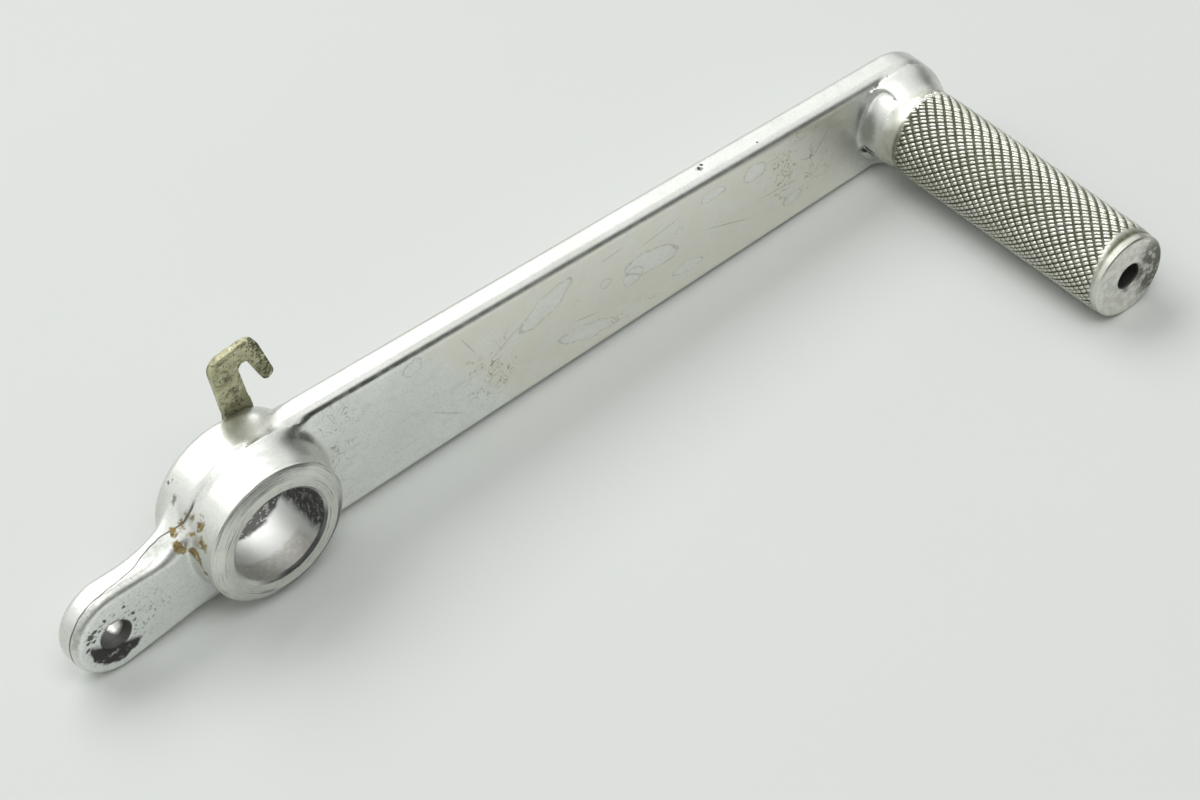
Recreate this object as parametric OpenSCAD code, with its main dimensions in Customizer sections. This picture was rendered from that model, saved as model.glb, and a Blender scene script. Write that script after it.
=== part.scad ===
// Rear brake pedal of a motorbike: one aluminium forging with a pivot boss, a flat
// arm, a knurled toe peg and a push-rod tab, and a stamped steel spring hook riveted
// to the back of the boss.
//
// Frame: the origin is on the pivot axis at the middle of the boss. X runs from the
// pivot to the peg, Y runs along the bore away from the rider, and Z is up.
// Inside the modules a depth is measured along the bore toward the rider, so the
// outlines are drawn as the rider sees them.

/* [Pivot boss] */
// Bore for the pivot shaft
bore_d = 20; // [16:0.5:22]
// Wall of the boss round its bore
boss_wall = 5.2; // [4:0.1:8]
// Length of the boss along the bore
boss_len = 19; // [16:0.5:26]
// Turned slope round the front rim, as a width and a depth
rim_width = 2.2; // [1:0.1:3]
rim_bevel = 1.4; // [0.6:0.1:2]
// Bevel round the back rim
back_bevel = 0.6; // [0.3:0.1:1.2]
// Bevel at each mouth of the bore
mouth_bevel = 0.5; // [0.2:0.1:1]
// Radius of the hollow blend from the boss to the front of the arm
front_blend = 5; // [2:0.5:6]
// Radius of the hollow blend behind the arm
back_blend = 2; // [1:0.5:3]

/* [Lever arm] */
// Pivot axis to peg axis
peg_reach = 163.5; // [120:0.5:200]
// Thickness of the forging
arm_t = 6.5; // [5:0.25:9]
// Height of the arm across the pivot
arm_root_w = 31.6; // [31:0.2:40]
// Height of the arm across the peg
arm_tip_w = 23; // [21:0.5:30]
// Front rim of the boss to the front face of the arm
arm_setback = 8.75; // [6:0.25:11]
// Radius of the rolled edges
edge_r = 1.8; // [1:0.1:2.4]

/* [Toe peg] */
// Plain outside of the peg
peg_d = 18; // [14:0.5:20]
// Front face of the arm to the end of the peg
peg_len = 66; // [45:1:80]
// Front face of the arm to the first row of the knurl
shoulder_len = 8.5; // [6:0.5:12]
// Height of the shoulder's relief on the side of the boss
relief_len = 6.4; // [3:0.2:8]
// Bevel round the end of the peg
end_bevel = 0.8; // [0.3:0.1:1.5]
// Hole in the end of the peg
peg_hole_d = 5.8; // [4:0.2:8]
// Depth of that hole
peg_hole_depth = 30; // [10:1:40]

/* [Knurl] */
// Grooves of each hand round the peg
knurl_starts = 25; // [16:1:28]
// Length of one diamond along the peg
knurl_pitch = 2.73; // [2:0.01:4]
// Least plain land between the knurl and the end of the peg
land_len = 2.2; // [1:0.2:5]
// Height of the diamonds' points over the plain peg
knurl_rise = 0.25; // [0.1:0.05:0.4]
// Depth of the grooves below it
knurl_sink = 0.35; // [0.2:0.05:0.6]

/* [Push-rod tab] */
// Pivot axis to the clevis-pin hole
tab_reach = 34.4; // [30:0.1:45]
// Drop of the tab below the line through the peg and the pivot, in degrees
tab_drop = 14; // [0:1:30]
// Clevis-pin hole
tab_hole_d = 6.6; // [5:0.1:8.5]
// Radius of the tab's round end
tab_end_r = 10; // [8:0.25:12]
// Height of the tab where it leaves the boss
tab_root_w = 16.4; // [14:0.2:20]
// Front face of the tab in front of the arm's
tab_joggle = 1.25; // [0:0.25:3]
// Radius of the hollow between the tab and the boss
tab_blend = 9; // [4:0.5:12]

/* [Spring hook] */
// Thickness of the hook plate
plate_t = 1.5; // [1:0.1:2.5]
// Clearance of the plate's foot round the bore
ring_gap = 0.8; // [0.4:0.1:1.5]
// Pivot axis to the top of the hook
hook_top = 29.9; // [27:0.1:34]
// Width of the hook's shank
shank_w = 6.1; // [5:0.1:8]
// Width of the slot that takes the spring's eye
slot_w = 2.5; // [2:0.1:3.5]
// Depth of that slot from its round end to the tip of the finger
slot_depth = 7.2; // [5:0.2:9]
// Width of the hook's finger at its tip
finger_w = 2.8; // [2.2:0.1:4]

/* [Rivets] */
// Rivets through the plate's foot
rivet_count = 2; // [2:1:3]
// Shank of a rivet
rivet_d = 2.4; // [1.6:0.2:2.6]
// Domed head of a rivet
rivet_head_d = 3.6; // [3:0.2:4]
// Height of that head
rivet_head_h = 1; // [0.6:0.1:1.6]
// Reach of a rivet into the boss
rivet_grip = 5; // [3:0.5:7]

/* [Hidden] */
// Facets of a full turn on the rolled forging, and on turned surfaces
roll_fn = 48;
turn_fn = 96;
// Segments of a quarter round
quarter = 4;
// Diametral clearance of a rivet in its hole
rivet_fit = 0.1;
// Angles of the first rivet, between rivets, and of the end of the plate's foot
rivet_first = 15;
rivet_step = 80;
foot_end = 75;
// Cuts run past the faces they open by this much
over = 1;

boss_d = bore_d + 2 * boss_wall;

// Depths of the faces, toward the rider from the middle of the boss
boss_front = boss_len / 2;
boss_back = -boss_len / 2;
arm_front = boss_front - arm_setback;
arm_back = arm_front - arm_t;
tab_front = arm_front + tab_joggle;
tab_back = tab_front - arm_t;
peg_end = arm_front + peg_len;
knurl_start = arm_front + shoulder_len;
knurl_rows = floor((peg_len - shoulder_len - land_len) / knurl_pitch);
knurl_end = knurl_start + knurl_rows * knurl_pitch;
plate_back = boss_back - plate_t;

// Centres in the plane of the forging
tab_hole = tab_reach * [-cos(tab_drop), -sin(tab_drop)];
tab_eye = (tab_reach - 0.9) * [-cos(tab_drop), -sin(tab_drop)];
tab_root = [-boss_d * 0.3, -boss_d * 0.2];

// Foot of the hook plate, and the circle of its rivets
ring_in = bore_d / 2 + ring_gap;
ring_out = boss_d / 2 - back_bevel;
rivet_circle = (ring_in + ring_out) / 2;

// The hook's shank leans back from the peg as it rises
foot_turn = 61;
shank_foot = (rivet_circle + 1) * [cos(foot_turn), sin(foot_turn)];
hook_corner = [shank_foot[0] - 2.3, hook_top - shank_w / 2 - 0.5];
slot_top = hook_top - 4.55;
slot_end = [hook_corner[0] + (shank_w + slot_w) / 2, slot_top - slot_w / 2];
slot_mouth = [slot_end[0] + 1.95, slot_top - slot_depth - 0.55];
crown_r = 3.2;
hook_crown = [slot_end[0] + 0.6, hook_top - crown_r];
finger_root = [slot_end[0] + (slot_w + finger_w) / 2 + 0.15, hook_top - 5.4];
finger_tip = [slot_end[0] + (slot_w + finger_w) / 2 + 2.15, slot_top - slot_depth + finger_w / 2];

// Stands an outline up in the X-Z plane, with its depths toward the rider
module facing_rider() {
    rotate([90, 0, 0]) children();
}

// Moves to a depth at a place in the plane of the forging
module at(place, depth = 0) {
    translate([place[0], place[1], depth]) children();
}

// A disc with rolled edges, from one depth to another
module rolled_disc(r, low, high) {
    corner = r - edge_r;
    steps = [for (i = [0:quarter]) 90 * i / quarter];
    front = [for (a = steps) [corner + edge_r * cos(a), high - edge_r + edge_r * sin(a)]];
    back = [for (a = steps) [corner + edge_r * sin(a), low + edge_r - edge_r * cos(a)]];
    rotate_extrude($fn = roll_fn) polygon(concat([[0, low]], back, front, [[0, high]]));
}

// The flat arm, tapering from the pivot to the peg
module arm() {
    hull() {
        rolled_disc(arm_root_w / 2, arm_back, arm_front);
        at([peg_reach, 0]) rolled_disc(arm_tip_w / 2, arm_back, arm_front);
    }
}

// The tab that pulls on the brake's push rod
module tab() {
    hull() {
        at(tab_root) rolled_disc(tab_root_w / 2, tab_back, tab_front);
        at(tab_eye) rolled_disc(tab_end_r, tab_back, tab_front);
    }
}

// Direction of the tab's edge on one side, where side is 1 for the top and -1 for
// the bottom: the tangent of the two discs that the tab is drawn round
function tab_edge(side) =
    let (run = tab_root - tab_eye,
         turn = asin((tab_root_w / 2 - tab_end_r) / norm(run)),
         heading = atan2(run[1], run[0]) + side * turn)
    [cos(heading), sin(heading)];

// The hollow fillet between the tab's edge and the boss, its edges rolled like the
// tab's
module tab_fillet(side) {
    along = tab_edge(side);
    out = side * [-along[1], along[0]];
    on_edge = tab_eye + tab_end_r * out;
    start = on_edge + tab_blend * out;
    root_r = boss_d / 2;
    toward = start * along;
    reach = -toward - sqrt(toward * toward - start * start + pow(root_r + tab_blend, 2));
    centre = start + reach * along;
    on_tab = centre - tab_blend * out;
    on_root = centre * root_r / (root_r + tab_blend);
    steps = [for (i = [0:quarter]) 90 * i / quarter];
    lip = tab_blend + edge_r;
    back = [for (a = steps) [lip - edge_r * sin(a), tab_back + edge_r - edge_r * cos(a)]];
    front = [for (a = steps) [lip - edge_r * cos(a), tab_front - edge_r + edge_r * sin(a)]];
    difference() {
        at([0, 0], tab_back) linear_extrude(arm_t)
            polygon([on_tab, on_root, on_root * 0.7, on_tab - 5 * out]);
        at(centre) rotate_extrude($fn = turn_fn) polygon(concat(
            [[0, tab_back - over], [lip, tab_back - over]], back,
            front, [[lip, tab_front + over], [0, tab_front + over]]));
    }
}

// Outline of the arm inside its rolled edges
module forging_outline() {
    hull() {
        circle(arm_root_w / 2 - edge_r, $fn = roll_fn);
        translate([peg_reach, 0]) circle(arm_tip_w / 2 - edge_r, $fn = roll_fn);
    }
}

// Points of a hollow quarter round that leaves a wall of radius r at depth high and
// lands on a face at depth low
function hollow(r, low, high) =
    let (size = high - low)
    [for (i = [0:2 * quarter])
        let (a = 90 * i / (2 * quarter))
        [r + size * (1 - cos(a)), high - size * sin(a)]];

// The boss that turns on the pivot shaft
module boss() {
    r = boss_d / 2;
    front_face = [[0, boss_front], [r - rim_width, boss_front],
        [r - rim_width / 4, boss_front - 0.6 * rim_bevel], [r, boss_front - rim_bevel]];
    back_face = [[r, boss_back + back_bevel], [r - back_bevel, boss_back], [0, boss_back]];
    rotate_extrude($fn = turn_fn) polygon(concat(front_face, back_face));
    // The blends keep inside the rolled edges of the arm
    intersection() {
        union() {
            rotate_extrude($fn = turn_fn) polygon(concat(
                [[0, arm_front + front_blend]],
                hollow(r, arm_front, arm_front + front_blend),
                [[r + front_blend, arm_front - 1], [0, arm_front - 1]]));
            mirror([0, 0, 1]) rotate_extrude($fn = turn_fn) polygon(concat(
                [[0, back_blend - arm_back]],
                hollow(r, -arm_back, back_blend - arm_back),
                [[r + back_blend, -arm_back - 1], [0, -arm_back - 1]]));
        }
        at([0, 0], boss_back) linear_extrude(boss_len) union() {
            forging_outline();
            circle(r, $fn = turn_fn);
        }
    }
}

// The diamond knurl: a sleeve over the peg's core whose points stand out where the two
// hands of ridges cross, and whose grooves run between them
module knurl() {
    around = 2 * knurl_starts;
    rows = 2 * knurl_rows;
    function radius(i, j) =
        peg_d / 2 + ((j == 0 || j == rows) ? -knurl_sink
            : (i + j) % 2 == 0 ? knurl_rise : -knurl_sink);
    function corner(i, j) = 1 + j * around + (i % around);
    skin = [for (j = [0:rows]) for (i = [0:around - 1])
        let (a = 360 * i / around)
        [radius(i, j) * cos(a), radius(i, j) * sin(a), j * knurl_pitch / 2]];
    last = 1 + len(skin);
    // Each square of the net is split along the groove that crosses it
    sides = [for (j = [0:rows - 1]) for (i = [0:around - 1]) for (half = [0, 1])
        (i + j) % 2 == 0
            ? (half == 0 ? [corner(i, j), corner(i, j + 1), corner(i + 1, j)]
                         : [corner(i + 1, j), corner(i, j + 1), corner(i + 1, j + 1)])
            : (half == 0 ? [corner(i, j), corner(i, j + 1), corner(i + 1, j + 1)]
                         : [corner(i, j), corner(i + 1, j + 1), corner(i + 1, j)])];
    low_end = [for (i = [0:around - 1]) [0, corner(i, 0), corner(i + 1, 0)]];
    high_end = [for (i = [0:around - 1]) [last, corner(i + 1, rows), corner(i, rows)]];
    at([peg_reach, 0], knurl_start) polyhedron(
        concat([[0, 0, 0]], skin, [[0, 0, rows * knurl_pitch / 2]]),
        concat(sides, low_end, high_end));
}

// The toe peg: a shoulder that swells into the arm's end, a core and a bevelled end
module peg() {
    r = peg_d / 2;
    core = r - knurl_sink - 0.4;
    lap = 0.4;
    swell = arm_tip_w / 2 - r - 0.1;
    steps = 8;
    shoulder = [for (i = [0:steps])
        let (t = i / steps)
        [r + swell * (1 + cos(180 * t)) / 2, arm_front + (shoulder_len - 2) * t]];
    at([peg_reach, 0]) rotate_extrude($fn = turn_fn) polygon(concat(
        [[0, arm_back + edge_r], [r + swell, arm_back + edge_r]],
        shoulder,
        [[r, knurl_start + lap], [core, knurl_start + lap]],
        [[core, knurl_end - lap], [r, knurl_end - lap]],
        [[r, peg_end - end_bevel], [r - end_bevel, peg_end], [0, peg_end]]));
}

// The relief on the inner side of the shoulder, down to just over the peg
module shoulder_relief() {
    far = arm_tip_w / 2 + 2;
    turn = [116, 236];
    middle = (turn[0] + turn[1]) / 2;
    at([peg_reach, 0], arm_front) intersection() {
        difference() {
            cylinder(r = far, h = relief_len, $fn = turn_fn);
            translate([0, 0, -over]) cylinder(r = peg_d / 2 + 0.2, h = relief_len + 2 * over, $fn = turn_fn);
        }
        translate([0, 0, -over]) linear_extrude(relief_len + 2 * over) polygon([
            [0, 0],
            far * 1.2 * [cos(turn[0]), sin(turn[0])],
            far * 2 * [cos(middle), sin(middle)],
            far * 1.2 * [cos(turn[1]), sin(turn[1])]]);
    }
}

// A round hole from one depth to another, opened by a bevel at its front mouth
module bored(d, low, high, bevel) {
    translate([0, 0, low]) cylinder(d = d, h = high - low + over, $fn = turn_fn);
    translate([0, 0, high - bevel])
        cylinder(d1 = d, d2 = d + 2 * (bevel + over), h = bevel + over, $fn = turn_fn);
}

module at_rivets() {
    for (i = [0:rivet_count - 1])
        rotate([0, 0, rivet_first - i * rivet_step]) translate([rivet_circle, 0, 0]) children();
}

module pedal_lever() color("#c9cac6") facing_rider() {
    difference() {
        union() {
            arm();
            tab();
            tab_fillet(1);
            tab_fillet(-1);
            boss();
            difference() {
                peg();
                shoulder_relief();
            }
            knurl();
        }
        bored(bore_d, boss_back - over, boss_front, mouth_bevel);
        mirror([0, 0, 1]) bored(bore_d, 0, -boss_back, mouth_bevel);
        at(tab_hole) translate([0, 0, tab_back - over])
            cylinder(d = tab_hole_d, h = arm_t + 2 * over, $fn = turn_fn);
        at([peg_reach, 0]) bored(peg_hole_d, peg_end - peg_hole_depth, peg_end, mouth_bevel);
        at_rivets() translate([0, 0, boss_back - over])
            cylinder(d = rivet_d + rivet_fit, h = rivet_grip + over + rivet_fit, $fn = turn_fn);
    }
}

// Outline of the hook: a leaning shank, a crown and a finger round an open slot
module hook_outline() {
    difference() {
        union() {
            hull() {
                translate(shank_foot) circle(d = shank_w, $fn = roll_fn);
                translate(hook_corner) circle(d = shank_w, $fn = roll_fn);
            }
            hull() {
                translate(hook_corner) circle(d = shank_w, $fn = roll_fn);
                translate(hook_crown) circle(crown_r, $fn = roll_fn);
            }
            hull() {
                translate(hook_crown) circle(crown_r, $fn = roll_fn);
                translate(finger_root) circle(d = finger_w + 0.8, $fn = roll_fn);
                translate(finger_tip) circle(d = finger_w, $fn = roll_fn);
            }
        }
        // The slot opens downward beside the shank
        hull() {
            translate(slot_end) circle(d = slot_w, $fn = roll_fn);
            translate(slot_mouth) circle(d = slot_w + 1.5, $fn = roll_fn);
        }
    }
}

// The plate's foot: half a ring on the back of the boss, on the side of the arm
module foot_outline() {
    difference() {
        circle(ring_out, $fn = turn_fn);
        rotate(foot_end) translate([-boss_d, 0]) square(2 * boss_d);
    }
}

module spring_hook_plate() color("#96927a") facing_rider() {
    difference() {
        translate([0, 0, plate_back]) linear_extrude(plate_t) union() {
            foot_outline();
            hook_outline();
        }
        translate([0, 0, plate_back - over])
            cylinder(r = ring_in, h = plate_t + 2 * over, $fn = turn_fn);
        at_rivets() translate([0, 0, plate_back - over])
            cylinder(d = rivet_d + rivet_fit, h = plate_t + 2 * over, $fn = turn_fn);
    }
}

// A rivet: a plain shank in the boss and a domed head on the plate
module rivet() {
    dome = (pow(rivet_head_d / 2, 2) + pow(rivet_head_h, 2)) / (2 * rivet_head_h);
    translate([0, 0, plate_back - over / 2])
        cylinder(d = rivet_d, h = plate_t + rivet_grip + over / 2, $fn = turn_fn);
    intersection() {
        translate([0, 0, plate_back + dome - rivet_head_h]) sphere(dome, $fn = turn_fn);
        translate([0, 0, plate_back - rivet_head_h])
            cylinder(d = rivet_head_d, h = rivet_head_h, $fn = turn_fn);
    }
}

module plate_rivets() color("#8d8f8c") facing_rider() at_rivets() rivet();

pedal_lever();
spring_hook_plate();
plate_rivets();
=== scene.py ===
import math

import bpy
import numpy as np
from mathutils import Matrix, Vector


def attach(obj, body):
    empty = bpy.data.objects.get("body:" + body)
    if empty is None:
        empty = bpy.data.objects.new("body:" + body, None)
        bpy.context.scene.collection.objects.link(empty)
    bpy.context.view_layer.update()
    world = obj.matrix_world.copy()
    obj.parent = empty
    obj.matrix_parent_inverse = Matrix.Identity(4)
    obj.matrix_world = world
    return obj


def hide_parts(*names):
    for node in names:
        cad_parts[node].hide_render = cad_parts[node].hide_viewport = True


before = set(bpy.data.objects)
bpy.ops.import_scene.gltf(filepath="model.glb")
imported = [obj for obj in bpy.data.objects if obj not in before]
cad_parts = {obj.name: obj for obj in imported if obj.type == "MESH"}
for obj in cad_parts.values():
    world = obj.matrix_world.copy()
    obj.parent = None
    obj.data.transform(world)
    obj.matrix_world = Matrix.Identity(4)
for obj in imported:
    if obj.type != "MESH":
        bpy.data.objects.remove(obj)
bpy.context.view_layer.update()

# The brake pedal's looks. Sizes below are in millimetres in the frame of the CAD
# model: x runs from the pivot to the peg, y along the bore away from the rider, z up.

MM = 0.001
BORE_R = 10.1
BOSS_R = 15.2
BOSS_END = 9.5
ARM_Y = (-0.75, 5.75)
ARM_ROOT_R = 15.8
ARM_TIP_R = 11.5
ARM_ROLL = 2.1
FLANGE_R = 15.95
FLANGE_BACK = 9.46
TAB_Y = (-2.0, 4.5)
TAB_ROOT = (-9.1, -6.1)
TAB_ROOT_R = 8.2
TAB_EYE = (-32.5, -8.0)
TAB_EYE_R = 10.0
TAB_ROLL = 2.0
TAB_HOLE = (-33.4, -8.3)
TAB_HOLE_R = 3.3
PEG_X = 163.5
PEG_R = 9.0
PEG_END = -66.75
PEG_HOLE_R = 2.9
PEG_HOLE_END = -36.75
# How far the forging's surface stays under the turned pieces that cover it
UNDER = 0.05
# A value that leaves a place alone when a signed distance is cut by it
NOWHERE = -50.0


# Signed distances

def smoothstep(t):
    t = np.clip(t, 0, 1)
    return t * t * (3 - 2 * t)


def smin(a, b, k):
    """Union of two distances, blended over a width of k."""
    h = np.maximum(k - np.abs(a - b), 0) / k
    return np.minimum(a, b) - h * h * k * 0.25


def smax(a, b, k):
    """The same for what two distances share."""
    return -smin(-a, -b, k)


def limb(x, z, p, q, rp, rq):
    """Outline of two discs and the tangents that join them."""
    dx, dz = q[0] - p[0], q[1] - p[1]
    length = math.hypot(dx, dz)
    u = ((x - p[0]) * dx + (z - p[1]) * dz) / length
    v = np.abs((x - p[0]) * dz - (z - p[1]) * dx) / length
    b = (rp - rq) / length
    a = math.sqrt(1 - b * b)
    k = u * a - v * b
    side = v * a + u * b - rp
    near = np.hypot(u, v) - rp
    far = np.hypot(u - length, v) - rq
    return np.where(k < 0, near, np.where(k > a * length, far, side))


def plate(d, y, low, high, r):
    """An outline with rolled edges, from one y to another."""
    a = d + r
    b = np.maximum(low + r - y, y - high + r)
    corner = np.hypot(np.maximum(a, 0), np.maximum(b, 0))
    return np.minimum(np.maximum(a, b), 0) + corner - r


def shoulder_r(depth):
    """Radius of the peg's shoulder at a depth in front of the arm."""
    t = np.clip(depth / 7.6, 0, 1)
    return 9.0 + 2.42 * (0.5 + 0.5 * np.cos(np.pi * t)) ** 1.05


def forging(x, y, z):
    """Signed distance of the arm, boss, tab and peg's shoulder."""
    rho = np.hypot(x, z)
    arm2 = limb(x, z, (0.0, 0.0), (PEG_X, 0.0), ARM_ROOT_R, ARM_TIP_R)
    # The arm's root stands out round the boss as a low flange, as deep as the boss's back
    deeper = smoothstep((18.2 - rho) / 2.0)
    back = ARM_Y[1] + (FLANGE_BACK - ARM_Y[1]) * deeper
    arm = plate(smin(arm2, rho - FLANGE_R, 0.5), y, ARM_Y[0], back, ARM_ROLL)
    # The boss in front of the arm; it narrows inside the flange, where it isn't seen
    boss = rho - (BOSS_R - UNDER) + 1.5 * np.maximum(y - ARM_Y[0], 0)
    boss = np.maximum(boss, -8.0 - y)
    k = np.clip(6.4 - 0.55 * np.maximum(y, 0), 2.5, 6.4)
    body = smin(arm, boss, 1.3 + (k - 1.3) * smoothstep((x + 4.0) / 10.0))
    # The tab swells into the boss through a wide hollow, wider at the back
    tab2 = limb(x, z, TAB_ROOT, TAB_EYE, TAB_ROOT_R, TAB_EYE_R)
    wide = np.clip(7.5 + 1.25 * (y + 2.0), 6.5, 15.5)
    fade = smoothstep(np.maximum((z - 3.0) / 8.0, (x + 8.0) / 7.0))
    tab2 = smin(tab2, rho - 14.9 + 6.0 * fade, wide)
    tab = plate(tab2, y, TAB_Y[0], TAB_Y[1], TAB_ROLL)
    body = smin(body, tab, np.clip(1.6 + 0.7 * np.maximum(y - 1.0, 0), 1.6, 4.0))
    # The peg's shoulder, and a core under the knurl; its inner side is ground back
    px = x - PEG_X
    prho = np.hypot(px, z)
    depth = ARM_Y[0] - y
    core = np.where(depth > 8.9, 8.4, np.where(depth < 0, 10.6, shoulder_r(depth)))
    neck = np.maximum((prho - core) * 0.93, np.maximum(y - 3.0, PEG_END + 3.2 - y))
    turn = np.degrees(np.arctan2(z, px)) % 360
    arc = np.radians(turn - 182.0) * 9.8
    oval = ((np.abs(arc) / 11.6) ** 2.6 + (np.abs(depth - 2.9) / 4.2) ** 2.6) ** (1 / 2.6)
    ground = np.maximum(10.0 - 0.14 * np.maximum(depth, 0), 9.2)
    pocket = smax((oval - 1.0) * 4.0, ground - prho, 0.3)
    neck = smax(neck, -pocket, 0.3)
    body = smin(body, neck, 1.1)
    body = np.maximum(body, np.where(x > 120, arm2 + 0.03, NOWHERE))
    # Bores, under the turned pieces
    body = np.maximum(body, (BORE_R + UNDER) - rho)
    eye = np.hypot(x - TAB_HOLE[0], z - TAB_HOLE[1])
    body = smax(body, TAB_HOLE_R - eye, 0.45)
    body = np.maximum(body, np.where(y < PEG_HOLE_END + 0.95, PEG_HOLE_R + 0.1 - prho, NOWHERE))
    for cx, cy, cz, r, soft in NICKS:
        ball = np.sqrt((x - cx) ** 2 + (y - cy) ** 2 + (z - cz) ** 2)
        body = smax(body, r - ball, soft)
    return body


# Nicks and dents that the photo shows: a ball's x, y, z and radius, and its edge's softness
NICKS = [
    (114.1, 2.9, 13.62, 1.05, 0.15),
    (115.0, 3.5, 13.5, 0.85, 0.12),
    (168.1, 1.8, 11.75, 0.85, 0.12),
    (127.7, 1.3, 12.86, 0.5, 0.1),
    (9.9, -8.7, 12.22, 0.55, 0.1),
]


# The hook's outline, discs joined by their tangents, as x, z and radius
HOOK = [(6.64, 11.98, 3.05), (4.34, 26.35, 3.05), (9.24, 26.7, 3.2), (11.44, 24.5, 1.8),
        (13.44, 19.55, 1.4)]
SLOT = [(8.64, 24.1, 1.25), (10.59, 17.6, 2.0)]
# Its foot is a half ring on the boss's back, held by two rivets
FOOT_R = 12.7
FOOT_HALF_WIDTH = 1.9
FOOT_INNER_R = 10.8
FOOT_TURN = math.radians(75)
RIVET_TURNS = (15, -65)
RIVET_R = 1.25
HOOK_Y = (9.5, 11.0)


def chain(x, z, discs):
    """Outline of discs, each joined to the next."""
    parts = [limb(x, z, p[:2], q[:2], p[2], q[2]) for p, q in zip(discs, discs[1:])]
    return np.minimum.reduce(parts)


def hook(x, y, z):
    """Signed distance of the spring hook's plate."""
    rho = np.hypot(x, z)
    half = z * math.cos(FOOT_TURN) - x * math.sin(FOOT_TURN)
    foot = np.maximum(np.abs(rho - FOOT_R) - FOOT_HALF_WIDTH, half)
    d = smin(chain(x, z, HOOK), foot, 1.0)
    d = smax(d, -chain(x, z, SLOT), 0.3)
    d = np.maximum(d, FOOT_INNER_R - rho)
    for turn in RIVET_TURNS:
        cx = FOOT_R * math.cos(math.radians(turn))
        cz = FOOT_R * math.sin(math.radians(turn))
        d = np.maximum(d, RIVET_R - np.hypot(x - cx, z - cz))
    return plate(d, y, HOOK_Y[0], HOOK_Y[1], 0.22)


# Meshes

def gradient(field, p):
    """Unit normals of the field at the points p."""
    e = 0.04
    g = np.empty_like(p)
    for i in range(3):
        q = p.copy()
        q[:, i] += e
        hi = field(q[:, 0], q[:, 1], q[:, 2])
        q[:, i] -= 2 * e
        g[:, i] = hi - field(q[:, 0], q[:, 1], q[:, 2])
    return g / np.maximum(np.linalg.norm(g, axis=1, keepdims=True), 1e-9)


def contour(field, low, high, h):
    """Vertices, quads and normals of the field's zero surface, by dual contouring."""
    low = np.array(low, float)
    n = np.ceil((np.array(high, float) - low) / h).astype(int) + 1
    axes = [low[i] + h * np.arange(n[i]) for i in range(3)]
    f = np.empty(n, np.float32)
    for i in range(0, n[0], 24):
        x, y, z = np.meshgrid(axes[0][i:i + 24], axes[1], axes[2], indexing="ij")
        f[i:i + 24] = field(x, y, z)
    inside = f < 0
    count = np.zeros(n - 1, np.uint8)
    for a in (0, 1):
        for b in (0, 1):
            for c in (0, 1):
                count += inside[a:n[0] - 1 + a, b:n[1] - 1 + b, c:n[2] - 1 + c]
    active = (count > 0) & (count < 8)
    ids = np.full(n - 1, -1, np.int64)
    ids[active] = np.arange(active.sum())
    cells = np.argwhere(active)
    total = len(cells)
    pairs = ((0, 0), (0, 1), (0, 2), (1, 1), (1, 2), (2, 2))
    ata = np.zeros((total, 6))
    atb = np.zeros((total, 3))
    mass = np.zeros((total, 4))
    quads = []
    for axis in range(3):
        o1, o2 = [(1, 2), (2, 0), (0, 1)][axis]
        a = np.take(inside, range(n[axis] - 1), axis)
        b = np.take(inside, range(1, n[axis]), axis)
        e = np.argwhere(a != b)
        e = e[(e[:, o1] > 0) & (e[:, o2] > 0)]
        e = e[(e[:, o1] < n[o1] - 1) & (e[:, o2] < n[o2] - 1)]
        e1 = e.copy()
        e1[:, axis] += 1
        f0 = f[e[:, 0], e[:, 1], e[:, 2]].astype(float)
        f1 = f[e1[:, 0], e1[:, 1], e1[:, 2]].astype(float)
        t = f0 / (f0 - f1)
        p = low + h * e
        base = p[:, axis].copy()
        p[:, axis] = base + h * t
        for _ in range(2):
            v = field(p[:, 0], p[:, 1], p[:, 2])
            t = np.clip(t - v / (f1 - f0), 0, 1)
            p[:, axis] = base + h * t
        g = gradient(field, p)
        gp = (g * p).sum(1)
        ring = []
        for s1, s2 in ((0, 0), (-1, 0), (-1, -1), (0, -1)):
            c = e.copy()
            c[:, o1] += s1
            c[:, o2] += s2
            cid = ids[c[:, 0], c[:, 1], c[:, 2]]
            ring.append(cid)
            for m, (i, j) in enumerate(pairs):
                ata[:, m] += np.bincount(cid, g[:, i] * g[:, j], total)
            for i in range(3):
                atb[:, i] += np.bincount(cid, g[:, i] * gp, total)
                mass[:, i] += np.bincount(cid, p[:, i], total)
            mass[:, 3] += np.bincount(cid, minlength=total)
        quad = np.stack(ring, 1)
        flip = ~inside[e[:, 0], e[:, 1], e[:, 2]]
        quad[flip] = quad[flip][:, ::-1]
        quads.append(quad)
    centre = mass[:, :3] / mass[:, 3:]
    # A weak pull to the middle of the cell's crossings keeps flat cells solvable
    lam = 0.06
    m = np.empty((total, 3, 3))
    for k, (i, j) in enumerate(pairs):
        m[:, i, j] = ata[:, k]
        m[:, j, i] = ata[:, k]
    m[:, range(3), range(3)] += lam
    v = np.linalg.solve(m, (atb + lam * centre)[:, :, None])[:, :, 0]
    corner = low + h * cells
    v = np.clip(v, corner - 0.1 * h, corner + 1.1 * h)
    return v, np.concatenate(quads), gradient(field, v)


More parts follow.
